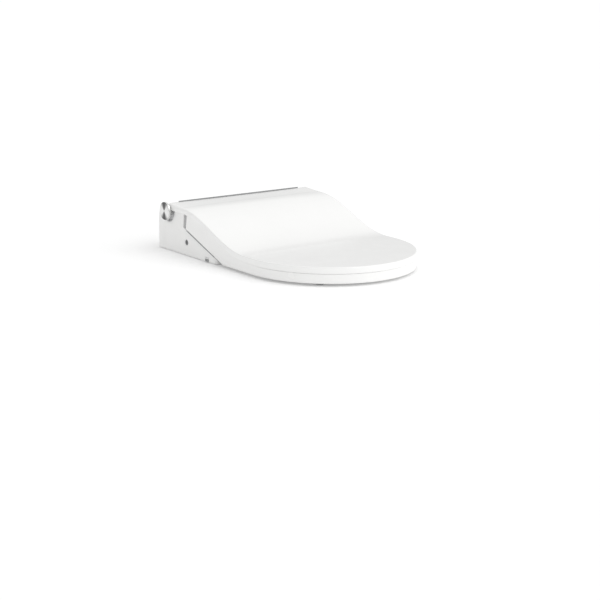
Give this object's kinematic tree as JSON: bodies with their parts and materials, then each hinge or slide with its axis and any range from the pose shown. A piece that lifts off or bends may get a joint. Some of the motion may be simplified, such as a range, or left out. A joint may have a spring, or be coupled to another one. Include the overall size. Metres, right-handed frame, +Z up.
{
  "type": "electric bidet seat",
  "caption": "Electric bidet seat for a toilet bowl: base unit with side dial, heated seat ring, sloping lid, sliding spray wand, warm-air dryer and deodoriser.",
  "frame": {"origin": "midway between the two bowl bolts, on the plane of the bowl's rim under the mounting plate", "axes": "+Z up, -Y towards the front of the seat, X across it with the dial on the -X side"},
  "size_m": [0.3928, 0.599, 0.1113],
  "materials": {
    "casing": "glossy white moulded plastic",
    "lid_white": "high-gloss white moulded plastic",
    "seat_white": "glossy white moulded plastic",
    "dark_trim": "satin dark grey plastic",
    "grey_plastic": "fine-textured grey plastic",
    "dark_plastic": "matt black plastic",
    "natural_plastic": "natural white plastic",
    "hose": "clear silicone hose",
    "rubber": "soft grey rubber",
    "steel": "plain bright steel",
    "polished_steel": "polished stainless steel",
    "dial_metal": "radially turned metal, clear coated",
    "brass": "turned brass",
    "board": "green solder resist",
    "wand": "smooth white plastic",
    "heater_foil": "copper-coloured heating foil"
  },
  "bodies": {
    "base": {"base_casing": "casing", "rear_cover": "casing", "hinge_cover": "dark_trim", "slot_liners": "dark_trim", "chassis_tray": "grey_plastic", "front_panel": "casing", "mounting_plate": "grey_plastic", "base_pads": "rubber", "casing_screws": "steel", "hinge_pins": "steel", "seat_damper": "dark_plastic", "lid_damper": "dark_plastic", "dial_collar": "dark_trim", "dial_switch": "dark_plastic", "release_latch": "grey_plastic", "water_inlet": "brass", "inlet_valve": "natural_plastic", "water_heater": "natural_plastic", "flow_selector": "natural_plastic", "water_hoses": "hose", "air_pump": "dark_plastic", "wand_guide": "grey_plastic", "wand_motor": "dark_plastic", "dryer_housing": "grey_plastic", "dryer_motor": "steel", "deodoriser_housing": "grey_plastic", "control_board": "board", "power_supply": "dark_plastic", "cable_gland": "dark_plastic"},
    "seat": {"seat_top": "seat_white", "seat_bottom": "seat_white", "seat_heater": "heater_foil", "seat_arms": "seat_white", "seat_buffers": "rubber"},
    "lid": {"lid_shell": "lid_white", "rear_strip": "dark_trim", "lid_arms": "lid_white", "lid_buffers": "rubber"},
    "wand": {"wand_tube": "wand", "wand_rack": "natural_plastic", "wand_tip": "polished_steel"},
    "wand_pinion": {"wand_gear": "natural_plastic"},
    "dial_push_rod": {"dial_shaft": "steel"},
    "dial": {"dial_knob": "dial_metal"},
    "release": {"release_button": "dark_plastic", "release_spring": "steel"},
    "cartridge": {"deodoriser_cartridge": "casing"},
    "fan_dryer": {"dryer_fan": "natural_plastic"},
    "fan_deodoriser": {"deodoriser_fan": "natural_plastic"},
    "flap": {"dryer_flap": "casing"}
  },
  "joints": [
    {"name": "seat_hinge", "type": "hinge", "parent": "base", "child": "seat", "pos_m": [0, 0.071, 0.091], "axis": [1, 0, 0], "range_deg": [-95, 0]},
    {"name": "lid_hinge", "type": "hinge", "parent": "seat", "child": "lid", "pos_m": [0, 0.071, 0.091], "axis": [-1, 0, 0], "range_deg": [0, 100]},
    {"name": "wand_slide", "type": "slide", "parent": "base", "child": "wand", "axis": [0, -0.9397, -0.342], "range_m": [0, 0.095]},
    {"name": "wand_gear_spin", "type": "hinge", "parent": "base", "child": "wand_pinion", "pos_m": [0.0204, -0.06424, 0.01907], "axis": [0, -0.342, 0.9397], "range_deg": [-720, 720]},
    {"name": "dial_push", "type": "slide", "parent": "base", "child": "dial_push_rod", "axis": [1, 0, 0], "range_m": [0, 0.0015], "stiffness_N_per_m": 1200},
    {"name": "dial_turn", "type": "hinge", "parent": "dial_push_rod", "child": "dial", "pos_m": [0, 0.071, 0.091], "axis": [-1, 0, 0], "range_deg": [-60, 60]},
    {"name": "release_push", "type": "slide", "parent": "base", "child": "release", "axis": [1, 0, 0], "range_m": [0, 0.003], "stiffness_N_per_m": 800},
    {"name": "cartridge_slide", "type": "slide", "parent": "base", "child": "cartridge", "axis": [-1, 0, 0], "range_m": [0, 0.055]},
    {"name": "dryer_fan_spin", "type": "hinge", "parent": "base", "child": "fan_dryer", "pos_m": [0.078, -0.01, 0.031], "axis": [0, 0, 1], "continuous": true},
    {"name": "deodoriser_fan_spin", "type": "hinge", "parent": "base", "child": "fan_deodoriser", "pos_m": [-0.129, -0.05, 0.0155], "axis": [0, 0, 1], "continuous": true},
    {"name": "dryer_flap_hinge", "type": "hinge", "parent": "base", "child": "flap", "pos_m": [0.048, -0.0909, 0.0167], "axis": [-1, 0, 0], "range_deg": [0, 60]}
  ],
  "couplings": [
    {"joint": "wand_gear_spin", "follows": "wand_slide", "rad_per_m": 125}
  ]
}
